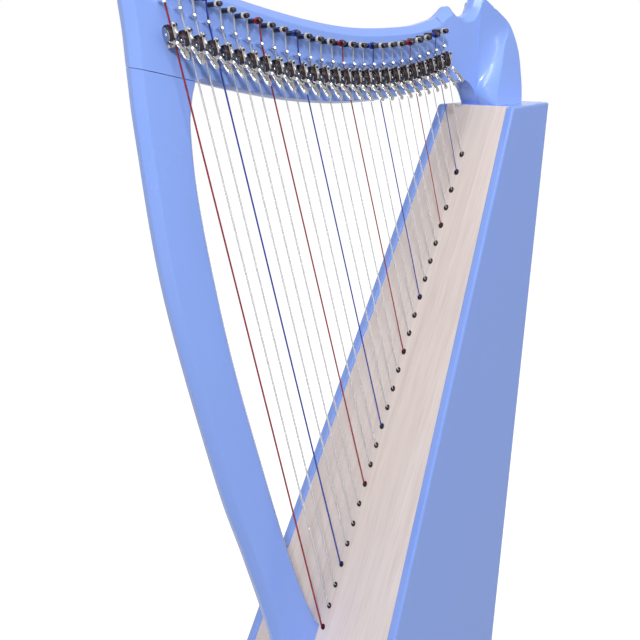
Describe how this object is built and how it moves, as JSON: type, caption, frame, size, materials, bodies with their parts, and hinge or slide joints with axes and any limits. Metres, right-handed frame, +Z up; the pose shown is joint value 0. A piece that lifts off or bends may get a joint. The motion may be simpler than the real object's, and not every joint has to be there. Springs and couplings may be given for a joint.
{
  "type": "lever harp",
  "caption": "Small lever harp with a curved column, a tapering soundbox, a veneered soundboard and a flip-up sharping lever on each string.",
  "frame": {"origin": "middle of the harp's bounding box, on the floor under the base pads", "axes": "+X from the column to the soundbox, +Z up; the levers are on the -Y side and the strings lie in the plane y = 0"},
  "size_m": [0.5278, 0.2936, 0.9141],
  "materials": {
    "blue_lacquer": "smooth blue gloss lacquer on wood",
    "maple_veneer": "pale veneer with a fine straight grain, satin",
    "string_nylon": "clear nylon",
    "nickel_plate": "nickel plate",
    "blued_steel": "dark blued steel"
  },
  "bodies": {
    "frame": {"neck": "blue_lacquer", "column": "blue_lacquer", "soundboard": "maple_veneer", "strings": "string_nylon", "side_left": "blue_lacquer", "side_right": "blue_lacquer", "back_panel": "blue_lacquer", "base": "blue_lacquer"},
    "pin_01": {"tuning_pin_01": "blued_steel"},
    "pin_02": {"tuning_pin_02": "blued_steel"},
    "pin_03": {"tuning_pin_03": "blued_steel"},
    "pin_04": {"tuning_pin_04": "blued_steel"},
    "pin_05": {"tuning_pin_05": "blued_steel"},
    "pin_06": {"tuning_pin_06": "blued_steel"},
    "pin_07": {"tuning_pin_07": "blued_steel"},
    "pin_08": {"tuning_pin_08": "blued_steel"},
    "pin_09": {"tuning_pin_09": "blued_steel"},
    "pin_10": {"tuning_pin_10": "blued_steel"},
    "pin_11": {"tuning_pin_11": "blued_steel"},
    "pin_12": {"tuning_pin_12": "blued_steel"},
    "pin_13": {"tuning_pin_13": "blued_steel"},
    "pin_14": {"tuning_pin_14": "blued_steel"},
    "pin_15": {"tuning_pin_15": "blued_steel"},
    "pin_16": {"tuning_pin_16": "blued_steel"},
    "pin_17": {"tuning_pin_17": "blued_steel"},
    "pin_18": {"tuning_pin_18": "blued_steel"},
    "pin_19": {"tuning_pin_19": "blued_steel"},
    "pin_20": {"tuning_pin_20": "blued_steel"},
    "pin_21": {"tuning_pin_21": "blued_steel"},
    "pin_22": {"tuning_pin_22": "blued_steel"},
    "pin_23": {"tuning_pin_23": "blued_steel"},
    "pin_24": {"tuning_pin_24": "blued_steel"},
    "pin_25": {"tuning_pin_25": "blued_steel"},
    "pin_26": {"tuning_pin_26": "blued_steel"},
    "lever_arm_01": {"lever_01": "nickel_plate"},
    "lever_arm_02": {"lever_02": "nickel_plate"},
    "lever_arm_03": {"lever_03": "nickel_plate"},
    "lever_arm_04": {"lever_04": "nickel_plate"},
    "lever_arm_05": {"lever_05": "nickel_plate"},
    "lever_arm_06": {"lever_06": "nickel_plate"},
    "lever_arm_07": {"lever_07": "nickel_plate"},
    "lever_arm_08": {"lever_08": "nickel_plate"},
    "lever_arm_09": {"lever_09": "nickel_plate"},
    "lever_arm_10": {"lever_10": "nickel_plate"},
    "lever_arm_11": {"lever_11": "nickel_plate"},
    "lever_arm_12": {"lever_12": "nickel_plate"},
    "lever_arm_13": {"lever_13": "nickel_plate"},
    "lever_arm_14": {"lever_14": "nickel_plate"},
    "lever_arm_15": {"lever_15": "nickel_plate"},
    "lever_arm_16": {"lever_16": "nickel_plate"},
    "lever_arm_17": {"lever_17": "nickel_plate"},
    "lever_arm_18": {"lever_18": "nickel_plate"},
    "lever_arm_19": {"lever_19": "nickel_plate"},
    "lever_arm_20": {"lever_20": "nickel_plate"},
    "lever_arm_21": {"lever_21": "nickel_plate"},
    "lever_arm_22": {"lever_22": "nickel_plate"},
    "lever_arm_23": {"lever_23": "nickel_plate"},
    "lever_arm_24": {"lever_24": "nickel_plate"},
    "lever_arm_25": {"lever_25": "nickel_plate"},
    "lever_arm_26": {"lever_26": "nickel_plate"}
  },
  "joints": [
    {"name": "tuning_01", "type": "hinge", "parent": "frame", "child": "pin_01", "pos_m": [-0.23385, 0, 0.8861], "axis": [0, 1, 0], "continuous": true},
    {"name": "tuning_02", "type": "hinge", "parent": "frame", "child": "pin_02", "pos_m": [-0.21689, 0, 0.87957], "axis": [0, 1, 0], "continuous": true},
    {"name": "tuning_03", "type": "hinge", "parent": "frame", "child": "pin_03", "pos_m": [-0.20104, 0, 0.87307], "axis": [0, 1, 0], "continuous": true},
    {"name": "tuning_04", "type": "hinge", "parent": "frame", "child": "pin_04", "pos_m": [-0.18564, 0, 0.86681], "axis": [0, 1, 0], "continuous": true},
    {"name": "tuning_05", "type": "hinge", "parent": "frame", "child": "pin_05", "pos_m": [-0.17028, 0, 0.86089], "axis": [0, 1, 0], "continuous": true},
    {"name": "tuning_06", "type": "hinge", "parent": "frame", "child": "pin_06", "pos_m": [-0.15481, 0, 0.85536], "axis": [0, 1, 0], "continuous": true},
    {"name": "tuning_07", "type": "hinge", "parent": "frame", "child": "pin_07", "pos_m": [-0.13928, 0, 0.85024], "axis": [0, 1, 0], "continuous": true},
    {"name": "tuning_08", "type": "hinge", "parent": "frame", "child": "pin_08", "pos_m": [-0.12374, 0, 0.84553], "axis": [0, 1, 0], "continuous": true},
    {"name": "tuning_09", "type": "hinge", "parent": "frame", "child": "pin_09", "pos_m": [-0.10827, 0, 0.84122], "axis": [0, 1, 0], "continuous": true},
    {"name": "tuning_10", "type": "hinge", "parent": "frame", "child": "pin_10", "pos_m": [-0.09292, 0, 0.83731], "axis": [0, 1, 0], "continuous": true},
    {"name": "tuning_11", "type": "hinge", "parent": "frame", "child": "pin_11", "pos_m": [-0.07772, 0, 0.8338], "axis": [0, 1, 0], "continuous": true},
    {"name": "tuning_12", "type": "hinge", "parent": "frame", "child": "pin_12", "pos_m": [-0.0627, 0, 0.83071], "axis": [0, 1, 0], "continuous": true},
    {"name": "tuning_13", "type": "hinge", "parent": "frame", "child": "pin_13", "pos_m": [-0.04788, 0, 0.82805], "axis": [0, 1, 0], "continuous": true},
    {"name": "tuning_14", "type": "hinge", "parent": "frame", "child": "pin_14", "pos_m": [-0.03326, 0, 0.82582], "axis": [0, 1, 0], "continuous": true},
    {"name": "tuning_15", "type": "hinge", "parent": "frame", "child": "pin_15", "pos_m": [-0.01884, 0, 0.82404], "axis": [0, 1, 0], "continuous": true},
    {"name": "tuning_16", "type": "hinge", "parent": "frame", "child": "pin_16", "pos_m": [-0.00464, 0, 0.82273], "axis": [0, 1, 0], "continuous": true},
    {"name": "tuning_17", "type": "hinge", "parent": "frame", "child": "pin_17", "pos_m": [0.00936, 0, 0.82189], "axis": [0, 1, 0], "continuous": true},
    {"name": "tuning_18", "type": "hinge", "parent": "frame", "child": "pin_18", "pos_m": [0.02314, 0, 0.82155], "axis": [0, 1, 0], "continuous": true},
    {"name": "tuning_19", "type": "hinge", "parent": "frame", "child": "pin_19", "pos_m": [0.03672, 0, 0.82171], "axis": [0, 1, 0], "continuous": true},
    {"name": "tuning_20", "type": "hinge", "parent": "frame", "child": "pin_20", "pos_m": [0.0501, 0, 0.82239], "axis": [0, 1, 0], "continuous": true},
    {"name": "tuning_21", "type": "hinge", "parent": "frame", "child": "pin_21", "pos_m": [0.06327, 0, 0.82362], "axis": [0, 1, 0], "continuous": true},
    {"name": "tuning_22", "type": "hinge", "parent": "frame", "child": "pin_22", "pos_m": [0.07626, 0, 0.82539], "axis": [0, 1, 0], "continuous": true},
    {"name": "tuning_23", "type": "hinge", "parent": "frame", "child": "pin_23", "pos_m": [0.08905, 0, 0.82774], "axis": [0, 1, 0], "continuous": true},
    {"name": "tuning_24", "type": "hinge", "parent": "frame", "child": "pin_24", "pos_m": [0.10166, 0, 0.83067], "axis": [0, 1, 0], "continuous": true},
    {"name": "tuning_25", "type": "hinge", "parent": "frame", "child": "pin_25", "pos_m": [0.11408, 0, 0.83419], "axis": [0, 1, 0], "continuous": true},
    {"name": "tuning_26", "type": "hinge", "parent": "frame", "child": "pin_26", "pos_m": [0.12633, 0, 0.83834], "axis": [0, 1, 0], "continuous": true},
    {"name": "sharping_01", "type": "hinge", "parent": "frame", "child": "lever_arm_01", "pos_m": [-0.21667, -0.007, 0.83298], "axis": [-0.9702, 0, -0.2423], "range_deg": [0, 76]},
    {"name": "sharping_02", "type": "hinge", "parent": "frame", "child": "lever_arm_02", "pos_m": [-0.20009, -0.007, 0.82816], "axis": [-0.97, 0, -0.2431], "range_deg": [0, 76]},
    {"name": "sharping_03", "type": "hinge", "parent": "frame", "child": "lever_arm_03", "pos_m": [-0.18455, -0.007, 0.82334], "axis": [-0.9695, 0, -0.2451], "range_deg": [0, 76]},
    {"name": "sharping_04", "type": "hinge", "parent": "frame", "child": "lever_arm_04", "pos_m": [-0.16942, -0.007, 0.81867], "axis": [-0.9689, 0, -0.2475], "range_deg": [0, 76]},
    {"name": "sharping_05", "type": "hinge", "parent": "frame", "child": "lever_arm_05", "pos_m": [-0.15433, -0.007, 0.81428], "axis": [-0.9683, 0, -0.2498], "range_deg": [0, 76]},
    {"name": "sharping_06", "type": "hinge", "parent": "frame", "child": "lever_arm_06", "pos_m": [-0.13914, -0.007, 0.8102], "axis": [-0.9678, 0, -0.2517], "range_deg": [0, 76]},
    {"name": "sharping_07", "type": "hinge", "parent": "frame", "child": "lever_arm_07", "pos_m": [-0.12389, -0.007, 0.80646], "axis": [-0.9674, 0, -0.2531], "range_deg": [0, 76]},
    {"name": "sharping_08", "type": "hinge", "parent": "frame", "child": "lever_arm_08", "pos_m": [-0.10864, -0.007, 0.80304], "axis": [-0.9671, 0, -0.2543], "range_deg": [0, 76]},
    {"name": "sharping_09", "type": "hinge", "parent": "frame", "child": "lever_arm_09", "pos_m": [-0.09345, -0.007, 0.79995], "axis": [-0.9669, 0, -0.2551], "range_deg": [0, 76]},
    {"name": "sharping_10", "type": "hinge", "parent": "frame", "child": "lever_arm_10", "pos_m": [-0.07837, -0.007, 0.79719], "axis": [-0.9667, 0, -0.2558], "range_deg": [0, 76]},
    {"name": "sharping_11", "type": "hinge", "parent": "frame", "child": "lever_arm_11", "pos_m": [-0.06344, -0.007, 0.79476], "axis": [-0.9666, 0, -0.2563], "range_deg": [0, 76]},
    {"name": "sharping_12", "type": "hinge", "parent": "frame", "child": "lever_arm_12", "pos_m": [-0.04867, -0.007, 0.79268], "axis": [-0.9665, 0, -0.2568], "range_deg": [0, 76]},
    {"name": "sharping_13", "type": "hinge", "parent": "frame", "child": "lever_arm_13", "pos_m": [-0.03407, -0.007, 0.79095], "axis": [-0.9664, 0, -0.2571], "range_deg": [0, 76]},
    {"name": "sharping_14", "type": "hinge", "parent": "frame", "child": "lever_arm_14", "pos_m": [-0.01967, -0.007, 0.78958], "axis": [-0.9663, 0, -0.2574], "range_deg": [0, 76]},
    {"name": "sharping_15", "type": "hinge", "parent": "frame", "child": "lever_arm_15", "pos_m": [-0.00546, -0.007, 0.7886], "axis": [-0.9663, 0, -0.2576], "range_deg": [0, 76]},
    {"name": "sharping_16", "type": "hinge", "parent": "frame", "child": "lever_arm_16", "pos_m": [0.00856, -0.007, 0.78801], "axis": [-0.9662, 0, -0.2578], "range_deg": [0, 76]},
    {"name": "sharping_17", "type": "hinge", "parent": "frame", "child": "lever_arm_17", "pos_m": [0.02239, -0.007, 0.78782], "axis": [-0.9662, 0, -0.2579], "range_deg": [0, 76]},
    {"name": "sharping_18", "type": "hinge", "parent": "frame", "child": "lever_arm_18", "pos_m": [0.03602, -0.007, 0.78806], "axis": [-0.9661, 0, -0.2581], "range_deg": [0, 76]},
    {"name": "sharping_19", "type": "hinge", "parent": "frame", "child": "lever_arm_19", "pos_m": [0.04947, -0.007, 0.78874], "axis": [-0.9661, 0, -0.2582], "range_deg": [0, 76]},
    {"name": "sharping_20", "type": "hinge", "parent": "frame", "child": "lever_arm_20", "pos_m": [0.06273, -0.007, 0.78987], "axis": [-0.9661, 0, -0.2583], "range_deg": [0, 76]},
    {"name": "sharping_21", "type": "hinge", "parent": "frame", "child": "lever_arm_21", "pos_m": [0.07581, -0.007, 0.79146], "axis": [-0.9661, 0, -0.2584], "range_deg": [0, 76]},
    {"name": "sharping_22", "type": "hinge", "parent": "frame", "child": "lever_arm_22", "pos_m": [0.08871, -0.007, 0.79354], "axis": [-0.966, 0, -0.2584], "range_deg": [0, 76]},
    {"name": "sharping_23", "type": "hinge", "parent": "frame", "child": "lever_arm_23", "pos_m": [0.10144, -0.007, 0.79612], "axis": [-0.966, 0, -0.2585], "range_deg": [0, 76]},
    {"name": "sharping_24", "type": "hinge", "parent": "frame", "child": "lever_arm_24", "pos_m": [0.11401, -0.007, 0.79922], "axis": [-0.966, 0, -0.2585], "range_deg": [0, 76]},
    {"name": "sharping_25", "type": "hinge", "parent": "frame", "child": "lever_arm_25", "pos_m": [0.12641, -0.007, 0.80284], "axis": [-0.966, 0, -0.2586], "range_deg": [0, 76]},
    {"name": "sharping_26", "type": "hinge", "parent": "frame", "child": "lever_arm_26", "pos_m": [0.13866, -0.007, 0.80701], "axis": [-0.966, 0, -0.2586], "range_deg": [0, 76]}
  ]
}
